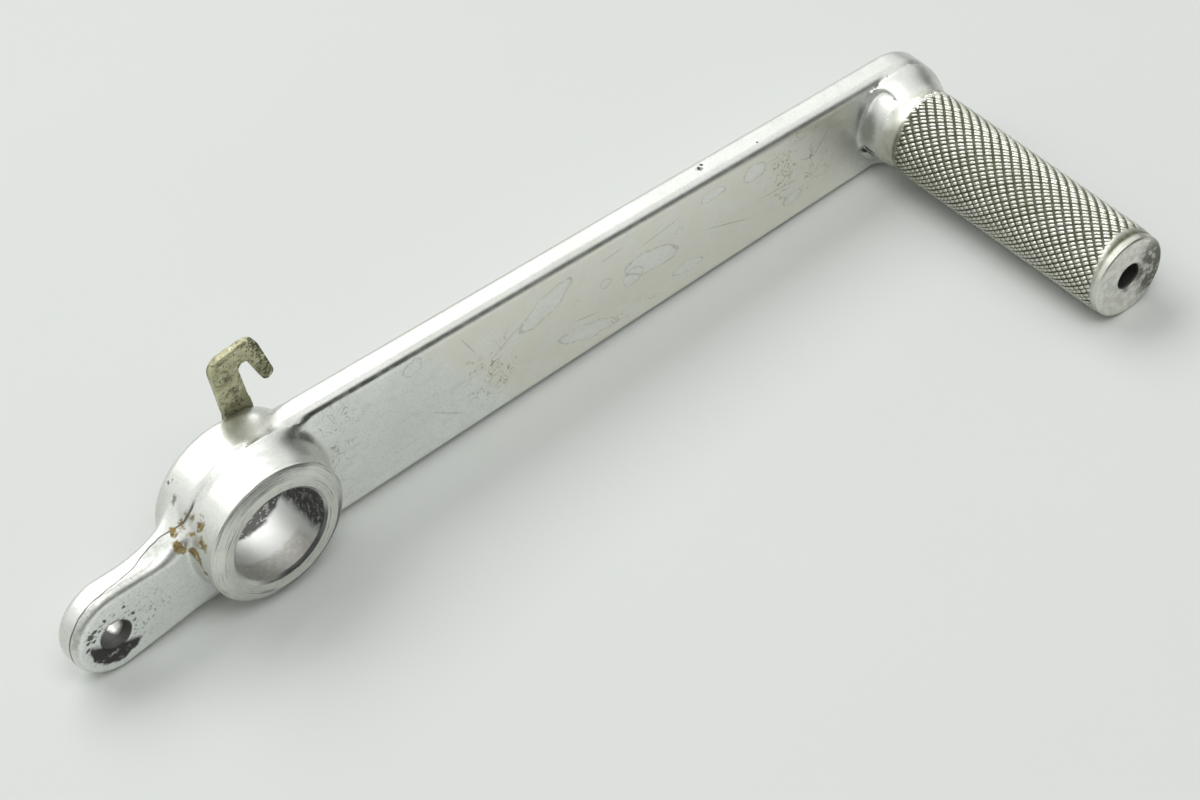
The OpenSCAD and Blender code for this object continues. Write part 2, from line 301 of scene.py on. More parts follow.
def make_mesh(name, verts, quads, normals=None, sharp=None):
    """An object from points in mm and an array of quads."""
    mesh = bpy.data.meshes.new(name)
    mesh.vertices.add(len(verts))
    mesh.vertices.foreach_set("co", (verts * MM).ravel())
    mesh.loops.add(quads.size)
    mesh.loops.foreach_set("vertex_index", quads.ravel().astype(np.int32))
    mesh.polygons.add(len(quads))
    mesh.polygons.foreach_set("loop_start", np.arange(0, quads.size, 4, dtype=np.int32))
    mesh.update(calc_edges=True)
    mesh.validate()
    for poly in mesh.polygons:
        poly.use_smooth = True
    if normals is not None:
        mesh.normals_split_custom_set_from_vertices(normals.tolist())
    elif sharp:
        mesh.set_sharp_from_angle(angle=math.radians(sharp))
    obj = bpy.data.objects.new(name, mesh)
    bpy.context.scene.collection.objects.link(obj)
    return obj


def lathe(name, profile, centre, steps, sharp=28):
    """Turns (radius, y) points round an axis along y."""
    turn = 2 * math.pi * np.arange(steps) / steps
    profile = np.array(profile, float)
    r, y = profile[:, 0], profile[:, 1]
    verts = np.empty((len(r), steps, 3))
    verts[:, :, 0] = centre[0] + r[:, None] * np.cos(turn)
    verts[:, :, 1] = y[:, None]
    verts[:, :, 2] = centre[1] + r[:, None] * np.sin(turn)
    i = np.arange(len(r) - 1)[:, None] * steps
    j = np.arange(steps)[None]
    k = (j + 1) % steps
    faces = np.stack([(i + j), (i + k), (i + steps + k), (i + steps + j)], 2).reshape(-1, 4)
    return make_mesh(name, verts.reshape(-1, 3), faces, sharp=sharp)


def rounded(points, radii, arc=4):
    """A profile whose corners are rounded by the radii given."""
    out = [points[0]]
    for k in range(1, len(points) - 1):
        p = np.array(points[k], float)
        a = np.array(points[k - 1], float) - p
        b = np.array(points[k + 1], float) - p
        la, lb = np.linalg.norm(a), np.linalg.norm(b)
        a, b = a / la, b / lb
        half = math.acos(max(-1, min(1, float(a @ b)))) / 2
        r = radii[k - 1]
        if r <= 0 or half > 1.56:
            out.append(tuple(p))
            continue
        cut = min(r / math.tan(half), la * 0.45, lb * 0.45)
        s, e = p + a * cut, p + b * cut
        for i in range(arc + 1):
            t = i / arc
            out.append(tuple((1 - t) ** 2 * s + 2 * t * (1 - t) * p + t * t * e))
    out.append(points[-1])
    return out


# The diamond knurl: a sleeve on a net that follows the two hands of its grooves

KNURL_N = 25
KNURL_PITCH = 2.71
KNURL_START = 5.2
KNURL_END = 65.6
BACK_PHASE = math.radians(27)
SLASH_PHASE = math.radians(-15)


def groove(phase, wide, soft):
    """1 at the middle of a groove, 0 on the land, for a phase in turns."""
    d = np.abs(phase - np.round(phase))
    return 1 - np.clip((d - wide * 0.5) / soft, 0, 1)


def knurl_radius(turn, depth):
    """Radius of the peg at a turn in radians and a depth in front of the arm."""
    k = 2 * math.pi / KNURL_PITCH
    one = (KNURL_N * turn - k * depth - BACK_PHASE) / (2 * math.pi)
    two = (KNURL_N * turn + k * depth - SLASH_PHASE) / (2 * math.pi)
    deg = np.degrees(turn) % 360
    # The wheel ran in unevenly, later on the lower side
    first = 8.5 + 1.3 * np.cos(np.radians(deg - 215)) + 0.35 * np.sin(np.radians(3 * deg + 40))
    last = 64.3 + 1.3 * np.cos(np.radians(deg - 262)) + 0.3 * np.sin(np.radians(3 * deg))
    cut = np.clip((depth - first) / 0.9, 0, 1) * np.clip((last - depth) / 1.6, 0, 1)
    cut = smoothstep(cut)
    rise = 0.24 * np.clip((depth - first + 1.0) / 3.5, 0, 1)
    rise = rise * np.clip((last + 1.2 - depth) / 3.0, 0, 1)
    row = np.sin(12.9898 * np.round(one)) * 0.5 + np.sin(4.7 * np.round(two)) * 0.5
    deep = 0.45 * (1 + 0.12 * row)
    # Hand two has a shallower groove halfway between its main ones
    sink = np.maximum(groove(one, 0.10, 0.13), groove(two, 0.08, 0.10))
    sink = np.maximum(sink, groove(two + 0.5, 0.05, 0.08) * 0.86) * deep
    crown = 0.05 * (1 - np.cos(2 * math.pi * one)) * 0.5
    base = np.where(depth < 9.0, shoulder_r(depth), PEG_R)
    edge = np.clip((depth - KNURL_START) / 1.8, 0, 1)
    tail = np.clip((KNURL_END - depth) / 0.9, 0, 1)
    return base + rise + (crown - sink) * cut - 0.04 * (1 - edge) - 0.12 * (1 - tail) + 0.012


def knurl(name):
    """The peg's sleeve. Places between two grooves of each hand are given in turns."""
    a = np.array([0.0, 0.055, 0.12, 0.18, 0.5, 0.82, 0.88, 0.945])
    b = np.array([0.0, 0.04, 0.12, 0.3, 0.41, 0.485, 0.515, 0.59, 0.7, 0.88, 0.96])
    a = a + BACK_PHASE / (2 * math.pi)
    b = b + SLASH_PHASE / (2 * math.pi)
    na, nb = len(a), len(b)
    ai = np.arange(0, KNURL_N * na)
    start = int(math.floor(2 * KNURL_START / KNURL_PITCH)) - 2
    rows = int(2 * KNURL_END / KNURL_PITCH) + 4
    bj = np.arange(start * nb, (KNURL_N + rows) * nb)
    one, two = np.meshgrid(a[ai % na] + ai // na, b[bj % nb] + bj // nb, indexing="ij")
    # one + two grows with the turn, and two - one with the depth
    depth = (two - one) * KNURL_PITCH / 2
    turn = (one + two) * math.pi / KNURL_N
    margin = 0.55
    keep = (depth > KNURL_START - margin) & (depth < KNURL_END + margin)
    ids = np.full(one.shape, -1, np.int64)
    ids[keep] = np.arange(keep.sum())
    d = np.clip(depth[keep], KNURL_START, KNURL_END)
    t = turn[keep]
    r = knurl_radius(t, d)
    verts = np.stack([PEG_X + r * np.cos(t), ARM_Y[0] - d, r * np.sin(t)], 1)
    # The net closes on itself: one more turn of hand one is hand two shifted by N turns
    shift = KNURL_N * nb
    seam = np.full(len(bj), -1, np.int64)
    seam[shift:] = ids[0][:-shift]
    rails = [*ids, seam]
    quads = []
    for cur, nxt in zip(rails, rails[1:]):
        q = np.stack([cur[:-1], cur[1:], nxt[1:], nxt[:-1]], 1)
        quads.append(q[(q >= 0).all(1)])
    return make_mesh(name, verts, np.concatenate(quads)[:, ::-1], sharp=60)


# Materials

class Nodes:
    """Short names for building the nodes of a material or a world."""

    def __init__(self, owner, coord="Object"):
        owner.use_nodes = True
        self.owner = owner
        self.tree = owner.node_tree
        self.tree.nodes.clear()
        self.coord = self.node("ShaderNodeTexCoord").outputs[coord]

    def put(self, value, socket):
        """Links a socket to another, or sets its value."""
        if isinstance(value, bpy.types.NodeSocket):
            self.tree.links.new(value, socket)
        else:
            socket.default_value = value

    def node(self, kind, values=(), **props):
        n = self.tree.nodes.new(kind)
        for key, value in props.items():
            setattr(n, key, value)
        for key, value in dict(values).items():
            self.put(value, n.inputs[key])
        return n

    def noise(self, scale, detail=3.0, rough=0.55, coord=None, distortion=0.0):
        values = {"Vector": coord or self.coord, "Scale": scale, "Detail": detail,
                  "Roughness": rough, "Distortion": distortion}
        return self.node("ShaderNodeTexNoise", values).outputs["Fac"]

    def math(self, op, a, b=0.0, c=0.0):
        return self.node("ShaderNodeMath", {0: a, 1: b, 2: c}, operation=op).outputs[0]

    def plus(self, a, b):
        return self.math("ADD", a, b)

    def less(self, a, b):
        return self.math("SUBTRACT", a, b)

    def rest(self, value):
        return self.less(1.0, value)

    def ramp(self, value, low, high, a=0.0, b=1.0):
        """A smooth step from a to b as the value goes from low to high."""
        values = {"Value": value, "From Min": low, "From Max": high, "To Min": a, "To Max": b}
        n = self.node("ShaderNodeMapRange", values, interpolation_type="SMOOTHSTEP", clamp=True)
        return n.outputs["Result"]

    def mix(self, fac, a, b):
        n = self.node("ShaderNodeMix", data_type="RGBA")
        self.put(fac, n.inputs["Factor"])
        for key, value in (("A", a), ("B", b)):
            socket = [i for i in n.inputs if i.name == key and i.type == "RGBA"][0]
            self.put(value, socket)
        return [o for o in n.outputs if o.type == "RGBA"][0]

    def tint(self, colour, fac, rgb):
        """A colour with another over it, given in sRGB."""
        return self.mix(fac, colour, linear(rgb))

    def spot(self, centre, size, coord=None, turn=0.0):
        """Distance from a place in mm, in units of size, as an ellipsoid turned about y."""
        values = {"Vector": coord or self.coord, "Location": [c * MM for c in centre],
                  "Rotation": (0, math.radians(turn), 0), "Scale": [s * MM for s in size]}
        return self.length(self.node("ShaderNodeMapping", values, vector_type="TEXTURE").outputs[0])

    def length(self, vector):
        return self.node("ShaderNodeVectorMath", {0: vector}, operation="LENGTH").outputs["Value"]

    def radius(self, a, b):
        """Distance of two coordinates from their origin."""
        return self.length(self.node("ShaderNodeCombineXYZ", {"X": a, "Y": b}).outputs[0])

    def bent(self, amount, scale, detail=3.0):
        """Coordinates pushed about by noise, by an amount in mm."""
        values = {"Vector": self.coord, "Scale": scale, "Detail": detail}
        noise = self.node("ShaderNodeTexNoise", values).outputs["Color"]
        kind = "ShaderNodeVectorMath"
        off = self.node(kind, {0: noise, 1: (0.5, 0.5, 0.5)}, operation="SUBTRACT").outputs[0]
        off = self.node(kind, {0: off, "Scale": amount * 2 * MM}, operation="SCALE").outputs[0]
        return self.node(kind, {0: self.coord, 1: off}, operation="ADD").outputs[0]

    def split(self, vector):
        return list(self.node("ShaderNodeSeparateXYZ", {0: vector}).outputs)

    def places(self, vector=None):
        """x, y and z of a vector in millimetres."""
        return [self.both(part, 1 / MM) for part in self.split(vector or self.coord)]

    def stretched(self, size):
        return self.node("ShaderNodeMapping", {"Vector": self.coord, "Scale": size}).outputs[0]

    def top(self, *values):
        out = values[0]
        for v in values[1:]:
            out = self.math("MAXIMUM", out, v)
        return out

    def both(self, *values):
        out = values[0]
        for v in values[1:]:
            out = self.math("MULTIPLY", out, v)
        return out

    def inside(self, dist, soft):
        """1 inside a spot, with a soft edge."""
        return self.ramp(dist, 1 + soft, 1 - soft)

    def ring(self, dist, width):
        """1 on a spot's outline."""
        return self.ramp(self.math("ABSOLUTE", self.less(dist, 1.0)), width, width * 0.3)

    def finish(self, colour, rough, metal, bump, strength, distance):
        values = {"Height": bump, "Strength": strength, "Distance": distance}
        normal = self.node("ShaderNodeBump", values).outputs[0]
        values = {"Metallic": metal, "Roughness": rough, "Base Color": colour, "Normal": normal}
        bsdf = self.node("ShaderNodeBsdfPrincipled", values)
        self.node("ShaderNodeOutputMaterial", {"Surface": bsdf.outputs[0]})
        return self.owner


def linear(rgb):
    """A colour written in sRGB, as a shader takes it."""
    return (*(((v / 255 + 0.055) / 1.055) ** 2.4 for v in rgb), 1.0)


# Clean patches in the film on the arm's face, as x, z, half length, half width and turn
CLEAN = [(71.0, 5.9, 6.9, 2.6, -24), (97.7, 1.1, 6.6, 2.7, 12), (125.0, 7.5, 3.0, 1.9, 0),
         (114.3, 8.3, 3.0, 1.4, 8), (135.0, -5.5, 2.5, 1.5, 0), (93.0, -0.2, 2.4, 1.9, 0),
         (81.0, -7.2, 7.5, 1.8, 15), (107.0, -6.5, 4.0, 1.3, 5)]
# Small dried rings of water, as x, z and half length
RINGS = [(86.2, 2.1, 1.5), (78.5, 1.7, 0.8), (38.9, 11.0, 2.2), (105.0, 4.4, 0.9)]
# Crackled places, as x, z, half length, half width and softness
CRACKLED = [(56.7, -0.8, 6.5, 8.0, 0.3), (137, 2, 9.0, 8.0, 0.3), (92.5, -9.3, 6.5, 1.6, 0.3),
            (20, 6, 6, 8, 0.4)]
# Fine scratches on the arm's face, as x, z, half length and turn
LINES = [(80.9, -3.4, 3.0, 12), (61.0, 3.0, 4.0, -30), (100.0, 6.8, 5.0, -8),
         (118.0, -2.0, 6.0, 20), (46.0, -6.0, 5.0, 35), (143.0, 4.5, 3.5, -50),
         (131.0, -1.0, 4.5, 4), (88.0, 8.6, 3.0, -4), (52.0, 8.0, 3.2, 62)]
# Pits beside the push rod's hole, as x, z and radius
PITS = [(-38.6, -4.9, 0.85), (-37.6, -4.3, 0.6), (-36.5, -4.9, 0.45), (-39.3, -6.2, 0.6),
        (-39.6, -7.9, 0.55), (-38.2, -6.6, 0.4), (-35.2, -3.0, 0.45), (-31.0, -2.6, 0.45),
        (-29.4, -5.3, 0.5), (-28.9, -7.4, 0.4)]
# Yellow-brown stains where the tab meets the boss: x, y, z and radius
STAINS = [(-14.3, -0.9, 8.5, 1.25), (-15.6, -0.2, 6.8, 1.15), (-16.6, 0.7, 5.3, 0.9),
          (-13.1, -3.1, 9.2, 0.8), (-13.7, -3.5, 7.4, 0.95), (-15.2, -2.2, 5.5, 1.0),
          (-17.0, -1.4, 3.0, 1.25), (-14.6, -5.1, 4.8, 1.1), (-15.7, -3.6, 1.0, 1.35),
          (-15.4, -4.7, -0.6, 0.75), (-15.2, -5.6, -2.1, 0.55), (-14.8, -6.3, -3.3, 0.4)]
# A spot this long along y reaches through the whole forging
THROUGH = 400


def forged(name):
    """The forging: satin metal with a water film, stains, grime and scratches, with painted light on
    its front faces and painted shade along edges and in a corner.
    """
    n = Nodes(bpy.data.materials.new(name))
    x, y, z = n.places()
    normal = n.node("ShaderNodeTexCoord").outputs["Normal"]
    _, ny, nz = n.split(normal)
    face = n.ramp(ny, -0.75, -0.93)
    side = n.ramp(n.math("ABSOLUTE", ny), 0.85, 0.6)
    broad = n.noise(42, 3, 0.5)
    fine = n.noise(420, 4, 0.6)
    grain = n.noise(2400, 2, 0.6)
    speck = n.noise(1150, 3, 0.65)
    streak = n.noise(1.0, 3, 0.6, n.stretched((130, 900, 900)))
    colour = n.mix(n.ramp(broad, 0.35, 0.7), linear((221, 223, 218)), linear((211, 212, 206)))
    # Painted light: surfaces facing the front get a paler copy of the metal, lifting faces the lamps
    # leave dark
    pale = n.mix(n.ramp(broad, 0.35, 0.7), linear((243, 246, 243)), linear((236, 238, 235)))
    colour = n.mix(face, colour, pale)
    colour = n.tint(colour, n.ramp(grain, 0.5, 0.7, 0.0, 0.28), (172, 173, 168))
    colour = n.tint(colour, n.ramp(fine, 0.5, 0.8, 0.0, 0.25), (196, 197, 191))
    colour = n.tint(colour, n.ramp(streak, 0.52, 0.75, 0.0, 0.14), (188, 190, 185))
    rough = n.ramp(fine, 0.3, 0.75, 0.31, 0.44)

    # The yellowish film on the arm's face with clean patches in it
    soft = n.bent(1.3, 260)
    sx, _, sz = n.places(soft)
    edge = n.less(n.plus(sx, n.both(sz, 0.78)), 52.1)
    film = n.both(n.ramp(edge, -3.0, 3.0), n.ramp(sx, 158, 146), face)
    clean = [n.spot((cx, 0, cz), (a, THROUGH, b), soft, turn) for cx, cz, a, b, turn in CLEAN]
    dried = [n.spot((cx, 0, cz), (a, THROUGH, a * 0.8), soft) for cx, cz, a in RINGS]
    patch = n.top(*[n.inside(d, 0.06) for d in clean])
    border = n.top(*[n.ring(d, 0.09) for d in clean], *[n.ring(d, 0.14) for d in dried])
    film = n.both(film, n.rest(n.both(patch, 0.6)))
    cloud = n.noise(170, 3, 0.6)
    colour = n.tint(colour, n.both(film, n.ramp(cloud, 0.25, 0.7, 0.45, 1.0)), (237, 235, 225))
    rough = n.plus(rough, n.both(film, 0.05))
    colour = n.tint(colour, n.both(border, face, n.ramp(speck, 0.35, 0.6, 0.05, 0.34)), (128, 126, 112))
    # Crackled scribbles and fine scratches
    wild = n.noise(240, 2, 0.5, distortion=1.6)
    thread = n.ramp(n.math("ABSOLUTE", n.less(wild, 0.5)), 0.016, 0.004)
    where = n.top(*[n.inside(n.spot((cx, 0, cz), (a, THROUGH, b)), edge)
                    for cx, cz, a, b, edge in CRACKLED])
    colour = n.tint(colour, n.both(thread, where, face, n.ramp(cloud, 0.4, 0.55), 0.7), (132, 126, 98))
    cut = n.top(*[n.inside(n.spot((cx, 0, cz), (a, THROUGH, 0.11), None, turn), 0.35)
                  for cx, cz, a, turn in LINES])
    colour = n.tint(colour, n.both(cut, face, 0.45), (140, 140, 130))

    # The tab: painted shade, a dark line between its bright edge and its front rounding, and a darker
    # speckled band on the rounding
    rise = n.math("DIVIDE", n.plus(x, 20.0), n.ramp(x, -20.4, -19.6, 7.0, 4.5))
    hump = n.math("EXPONENT", n.both(n.both(rise, rise), -1.0))
    wave = n.both(n.less(n.noise(160, 2), 0.5), 1.2)
    off = n.less(n.less(y, wave), n.math("MULTIPLY_ADD", hump, 2.5, -0.2))
    tab = n.both(n.ramp(x, -11.0, -12.5), n.ramp(z, -13.0, -9.0), side)
    shade_line = n.both(n.ramp(n.math("ABSOLUTE", off), 0.24, 0.08), tab)
    shade_band = n.both(n.ramp(off, 0.0, -0.5), n.ramp(off, -3.2, -1.8), n.ramp(x, -17.0, -19.5),
                   n.ramp(z, -10.0, -5.0), n.ramp(ny, -0.97, -0.8))
    colour = n.tint(colour, n.both(shade_band, n.ramp(speck, 0.34, 0.6, 0.3, 1.0), 0.36), (112, 112, 104))
    colour = n.tint(colour, n.both(shade_line, 0.85), (84, 84, 78))
    # Grime below the push rod's hole, pits beside it, speckles round it
    hole = n.bent(0.8, 650, 4.0)
    hx, _, hz = n.places(hole)
    front = n.ramp(y, -1.2, -1.7)
    eye = n.radius(n.plus(hx, 33.2), n.plus(hz, 9.2))
    low = n.plus(n.both(hx, 0.42), n.plus(hz, 24.4))
    crescent = n.both(n.ramp(eye, 6.3, 5.6), n.ramp(low, 0.9, -0.6), front, n.ramp(hx, -25.5, -28.5))
    crescent = n.both(crescent, n.ramp(n.noise(700, 3, 0.6), 0.26, 0.42, 0.55, 1.0))
    pits = n.top(*[n.inside(n.spot((cx, 0, cz), (r, THROUGH, r * 0.8), hole), 0.3)
                   for cx, cz, r in PITS])
    around = n.ramp(n.spot((-31.5, 0, -7.3), (14.0, THROUGH, 9.0)), 1.0, 0.4)
    near = n.both(around, n.ramp(speck, 0.54, 0.66), front)
    wall = n.ramp(n.spot((TAB_HOLE[0], 0, TAB_HOLE[1]), (3.45, THROUGH, 3.45)), 1.05, 1.0)
    worn = n.inside(n.spot((-31.0, 2.6, -10.6), (1.5, 2.0, 1.5), hole), 0.4)
    wall = n.both(wall, n.rest(worn), n.ramp(z, -5.2, -7.0))
    grime = n.top(crescent, n.both(pits, front, 0.9), n.both(near, 0.5), n.both(wall, 0.9))
    colour = n.tint(colour, grime, (52, 50, 48))

    # Brown stains at the junction and the dark spots on the boss behind it
    speckle = n.noise(1000, 4, 0.7)
    crust = n.bent(1.3, 620, 4.0)
    brown = n.top(*[n.inside(n.spot((cx, cy, cz), (r * 1.1, r * 1.1, r * 1.25), crust), 0.25)
                    for cx, cy, cz, r in STAINS])
    brown = n.both(brown, n.ramp(speckle, 0.37, 0.46))
    hue = n.mix(n.ramp(n.noise(900, 2), 0.4, 0.6), linear((152, 130, 70)), linear((112, 91, 34)))
    colour = n.mix(n.both(brown, 0.95), colour, hue)
    dark = n.top(n.inside(n.spot((-11.7, 6.9, 10.0), (0.8, 0.8, 0.7), crust), 0.2),
                 n.inside(n.spot((-13.9, 4.2, 9.7), (1.0, 1.0, 1.5), crust), 0.25),
                 n.inside(n.spot((-13.4, 2.7, 10.4), (0.5, 0.5, 0.5), crust), 0.25))
    dark = n.both(dark, n.ramp(speckle, 0.34, 0.46))
    colour = n.tint(colour, n.both(dark, 0.9), (74, 58, 40))
    # Grey smudges where the boss runs into the arm
    smear = n.bent(0.8, 500)
    smudge = n.top(n.inside(n.spot((8.6, -1.9, 14.0), (2.2, 1.3, 1.3), smear), 0.5),
                   n.inside(n.spot((10.3, -4.8, 11.5), (2.2, 1.0, 1.2), smear), 0.6))
    smudge = n.both(smudge, 0.35)
    colour = n.tint(colour, n.both(smudge, n.ramp(speckle, 0.36, 0.55, 0.2, 0.8)), (116, 113, 100))
    # Painted shade: a dark line under the arm's upper front edge, strongest beside the boss
    edge_shade = n.both(n.ramp(ny, -0.95, -0.88), n.ramp(ny, -0.60, -0.74), n.ramp(nz, 0.2, 0.4),
                  n.ramp(x, 7.0, 9.5), n.ramp(x, 156, 146), n.ramp(x, 75, 14, 0.30, 0.85),
                  n.ramp(n.noise(330, 3, 0.6), 0.32, 0.58, 0.45, 1.0))
    colour = n.tint(colour, edge_shade, (88, 88, 82))
    # Nicks and a spot by the peg's shoulder hold dirt; the corner between the arm and the peg's
    # shoulder gets painted shade
    pit = n.top(*[n.ramp(n.spot((cx, cy, cz), (r, r, r)), 1.06, 0.98)
                  for cx, cy, cz, r, _ in NICKS])
    pocket = n.inside(n.spot((154.5, -2.3, -4.1), (1.5, 1.7, 1.8), crust), 0.25)
    pocket = n.both(pocket, n.ramp(speckle, 0.4, 0.5))
    # Painted shade in the corner between the arm's face and the peg's shoulder
    corner_shade = n.both(n.inside(n.spot((154.0, -2.0, 3.0), (1.6, 2.2, 5.0), smear), 0.5), 0.5)
    colour = n.tint(colour, n.top(pit, pocket, corner_shade), (46, 46, 44))
    metal = n.rest(n.top(n.both(grime, 0.8), n.both(brown, 0.9), n.both(dark, 0.9), pit))
    rough = n.top(rough, n.both(n.top(grime, brown, dark), 0.65), n.both(shade_band, 0.45))
    height = n.plus(n.both(fine, 0.55), n.both(grain, 0.45))
    height = n.less(height, n.both(n.top(shade_line, n.both(cut, 0.4), n.both(border, face, 0.12)), 0.6))
    return n.finish(colour, rough, metal, height, 0.16, 0.00022)


def turned(name):
    """The boss's turned rims and its reamed, grimy bore."""
    n = Nodes(bpy.data.materials.new(name))
    x, y, z = n.places()
    r = n.radius(x, z)
    turn = n.both(n.math("ARCTAN2", z, x), 180 / math.pi)
    drift = n.both(n.noise(60, 2), 1.4)
    flow = n.node("ShaderNodeCombineXYZ", {"X": n.plus(r, drift), "Y": n.both(turn, 0.006)})
    rings = n.noise(3.6, 3.0, 0.65, flow.outputs[0])
    fine = n.noise(520, 3, 0.6)
    colour = n.mix(n.ramp(n.noise(60, 3), 0.35, 0.7), linear((222, 223, 216)), linear((206, 207, 200)))
    arcs = n.both(n.ramp(rings, 0.52, 0.66), n.ramp(r, 10.6, 11.0), n.ramp(n.noise(160, 2), 0.35, 0.6))
    colour = n.tint(colour, n.both(arcs, 0.8), (112, 112, 104))
    colour = n.tint(colour, n.ramp(fine, 0.5, 0.8, 0.0, 0.4), (178, 178, 170))
    # The bore: dark mottled bands at its back and on its right, brownish low front
    bore = n.ramp(r, 10.35, 10.25)
    wob = n.both(n.less(n.noise(260, 3, 0.6), 0.5), 2.6)
    mottle = n.noise(950, 3, 0.7)
    back = n.ramp(n.plus(y, wob), 2.3, 3.4)
    right = n.both(n.ramp(n.plus(turn, n.both(wob, 5.0)), -38, -24), n.ramp(turn, 95, 70))
    deep = n.both(n.top(back, right), n.ramp(mottle, 0.68, 0.5, 0.4, 1.0), bore)
    low = n.both(n.ramp(n.plus(y, wob), -3.4, -4.8), n.ramp(turn, -38, -50), bore,
                 n.ramp(mottle, 0.3, 0.6, 0.45, 1.0))
    colour = n.tint(colour, bore, (208, 209, 206))
    colour = n.tint(colour, n.both(low, 0.5), (146, 141, 126))
    colour = n.tint(colour, n.both(deep, 0.93), (54, 53, 50))
    # Painted shadow: a dark crescent in the chamfer at the bore's lower right mouth
    mouth_shadow = n.both(n.ramp(y, -9.46, -9.36), n.ramp(y, -8.65, -8.85), n.ramp(turn, -112, -85),
                 n.ramp(turn, 10, -12))
    colour = n.tint(colour, n.both(mouth_shadow, 0.85), (66, 66, 68))
    rough = n.top(n.ramp(rings, 0.35, 0.7, 0.26, 0.40), n.both(deep, 0.5), n.both(bore, 0.52))
    height = n.plus(n.both(rings, 0.7), n.both(fine, 0.3))
    return n.finish(colour, rough, n.rest(n.both(deep, 0.35)), height, 0.25, 0.00025)


def knurled(name):
    """The knurl: bright worn points over olive dirt in the grooves."""
    n = Nodes(bpy.data.materials.new(name))
    x, y, z = n.places()
    r = n.radius(n.less(x, PEG_X), z)
    fine = n.noise(700, 3, 0.6)
    broad = n.noise(90, 3, 0.5)
    colour = n.mix(n.ramp(broad, 0.35, 0.7), linear((216, 217, 208)), linear((198, 199, 187)))
    colour = n.tint(colour, n.ramp(fine, 0.45, 0.75, 0.0, 0.5), (168, 168, 152))
    body = n.both(n.ramp(y, -8.7, -9.8), n.ramp(y, -65.7, -64.8))
    level = n.plus(r, n.both(n.less(broad, 0.5), 0.16))
    # Painted shade: the peg grows darker towards its underside
    colour = n.tint(colour, n.ramp(z, 4.0, -8.0, 0.0, 0.55), (168, 168, 154))
    dirt = n.both(n.ramp(level, 9.17, 9.02), body)
    colour = n.tint(colour, n.both(dirt, n.ramp(fine, 0.3, 0.6, 0.80, 1.0)), (88, 87, 66))
    rough = n.top(n.ramp(fine, 0.3, 0.75, 0.28, 0.42), n.both(dirt, 0.6))
    metal = n.rest(n.both(dirt, 0.6))
    return n.finish(colour, rough, metal, fine, 0.2, 0.0002)


def end_metal(name):
    """The sawn and faced end of the peg, matt and grimy round its hole."""
    n = Nodes(bpy.data.materials.new(name))
    x, y, z = n.places()
    fine = n.noise(650, 4, 0.65)
    broad = n.noise(150, 3, 0.5)
    r = n.radius(n.less(x, PEG_X), z)
    flat = n.both(n.ramp(y, -66.55, -66.68), n.ramp(n.plus(r, n.both(broad, 0.4)), 8.7, 8.5))
    colour = n.mix(n.ramp(broad, 0.35, 0.7), linear((220, 221, 213)), linear((206, 206, 196)))
    dull = n.mix(n.ramp(fine, 0.4, 0.65), linear((236, 236, 229)), linear((214, 214, 205)))
    colour = n.mix(flat, colour, dull)
    ring = n.both(n.ramp(n.plus(r, n.both(broad, 1.2)), 4.4, 3.6), flat)
    right = n.inside(n.spot((169.6, -66.7, -1.3), (4.1, 3.0, 7.0), n.bent(1.0, 500)), 0.4)
    right = n.both(right, n.ramp(fine, 0.34, 0.54, 0.35, 1.0))
    # Painted shade: the inside of the peg's deep hole is painted nearly black
    hole_shade = n.both(n.ramp(r, 2.98, 2.9), n.ramp(y, -66.6, -65.6))
    colour = n.tint(colour, n.both(ring, n.ramp(fine, 0.35, 0.6), 0.5), (96, 92, 74))
    colour = n.tint(colour, n.both(right, 0.85), (70, 68, 56))
    colour = n.tint(colour, n.both(hole_shade, 0.9), (30, 30, 28))
    rough = n.ramp(flat, 0, 1, 0.34, 0.55)
    metal = n.rest(n.top(n.both(flat, 0.25), n.both(hole_shade, 0.6)))
    return n.finish(colour, rough, metal, fine, 0.3, 0.0003)


def plated(name):
    """Yellow zinc plate gone olive and speckled."""
    n = Nodes(bpy.data.materials.new(name))
    x, y, z = n.places()
    mottled = n.noise(260, 4, 0.6)
    speck = n.noise(1500, 3, 0.7)
    colour = n.mix(n.ramp(mottled, 0.35, 0.7), linear((198, 197, 162)), linear((164, 162, 130)))
    blot = n.noise(430, 5, 0.7, distortion=0.6)
    tip = n.ramp(x, 8.5, 13.0, 0.0, 0.10)
    colour = n.tint(colour, n.both(n.ramp(n.plus(blot, tip), 0.50, 0.60), 0.75), (104, 99, 70))
    colour = n.tint(colour, n.both(n.ramp(n.noise(620, 4, 0.65), 0.55, 0.66), 0.7), (214, 213, 190))
    colour = n.tint(colour, n.both(n.ramp(n.plus(speck, tip), 0.57, 0.66), 0.9), (58, 54, 36))
    lower = n.ramp(z, 18.5, 15.5, 0.0, 0.45)
    colour = n.tint(colour, lower, (104, 103, 84))
    return n.finish(colour, n.ramp(mottled, 0.3, 0.7, 0.42, 0.56), 0.55, mottled, 0.25, 0.0003)


# Pieces

# Cell sizes of the two contoured pieces
FORGING_CELL = 0.5
HOOK_CELL = 0.25
FORGING_BOX = ((-43.5, -66.0, -19.0), (176.0, 10.5, 17.0))
HOOK_BOX = ((-4.6, 9.0, -15.4), (15.8, 11.5, 30.6))

